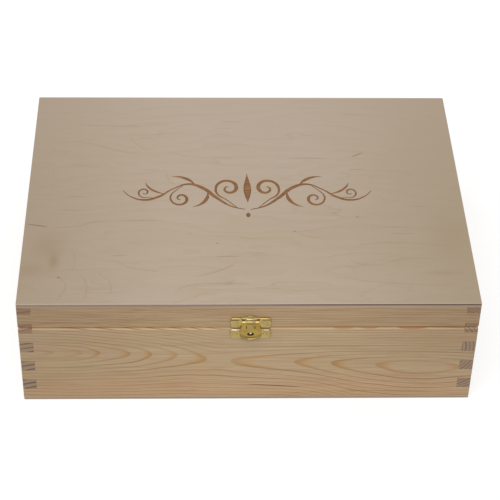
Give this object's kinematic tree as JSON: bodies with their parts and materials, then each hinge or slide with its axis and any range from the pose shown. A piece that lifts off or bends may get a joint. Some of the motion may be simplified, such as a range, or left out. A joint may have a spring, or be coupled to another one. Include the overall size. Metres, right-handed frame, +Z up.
{
  "type": "keepsake box",
  "caption": "Low finger-jointed pine box with a flat plywood lid on back hinges and a brass snap latch in front, for papers and keepsakes.",
  "frame": {"origin": "centre of the underside, on the surface that the box stands on", "axes": "+X to the right and +Z up as seen from the front; the latch and front boards face -Y, the hinges +Y"},
  "size_m": [0.33, 0.2581, 0.095],
  "materials": {
    "pine": "bare planed and sanded softwood",
    "birch_plywood": "bare sanded birch veneer",
    "brass_sheet": "bright stamped sheet",
    "brass_pins": "bright drawn wire and turned heads"
  },
  "bodies": {
    "base": {"base_bottom_panel": "birch_plywood", "base_front_board": "pine", "base_back_board": "pine", "base_left_board": "pine", "base_right_board": "pine", "latch_lower_plate": "brass_sheet", "latch_stud": "brass_pins", "latch_lower_nail_left": "brass_pins", "latch_lower_nail_right": "brass_pins", "left_hinge_base_leaf": "brass_sheet", "left_hinge_pin": "brass_pins", "left_hinge_base_nail_left": "brass_pins", "left_hinge_base_nail_right": "brass_pins", "right_hinge_base_leaf": "brass_sheet", "right_hinge_pin": "brass_pins", "right_hinge_base_nail_left": "brass_pins", "right_hinge_base_nail_right": "brass_pins"},
    "lid": {"lid_top_panel": "birch_plywood", "lid_front_board": "pine", "lid_back_board": "pine", "lid_left_board": "pine", "lid_right_board": "pine", "latch_upper_plate": "brass_sheet", "latch_pin": "brass_pins", "latch_upper_nail_left": "brass_pins", "latch_upper_nail_right": "brass_pins", "left_hinge_lid_leaf": "brass_sheet", "left_hinge_lid_nail_left": "brass_pins", "left_hinge_lid_nail_right": "brass_pins", "right_hinge_lid_leaf": "brass_sheet", "right_hinge_lid_nail_left": "brass_pins", "right_hinge_lid_nail_right": "brass_pins"},
    "hasp": {"latch_hasp": "brass_sheet"}
  },
  "joints": [
    {"name": "lid_hinge", "type": "hinge", "parent": "base", "child": "lid", "pos_m": [0, 0.12695, 0.072], "axis": [-1, 0, 0], "range_deg": [0, 180]},
    {"name": "hasp_hinge", "type": "hinge", "parent": "lid", "child": "hasp", "pos_m": [0.001, -0.1274, 0.08], "axis": [-1, 0, 0], "range_deg": [0, 180]}
  ]
}
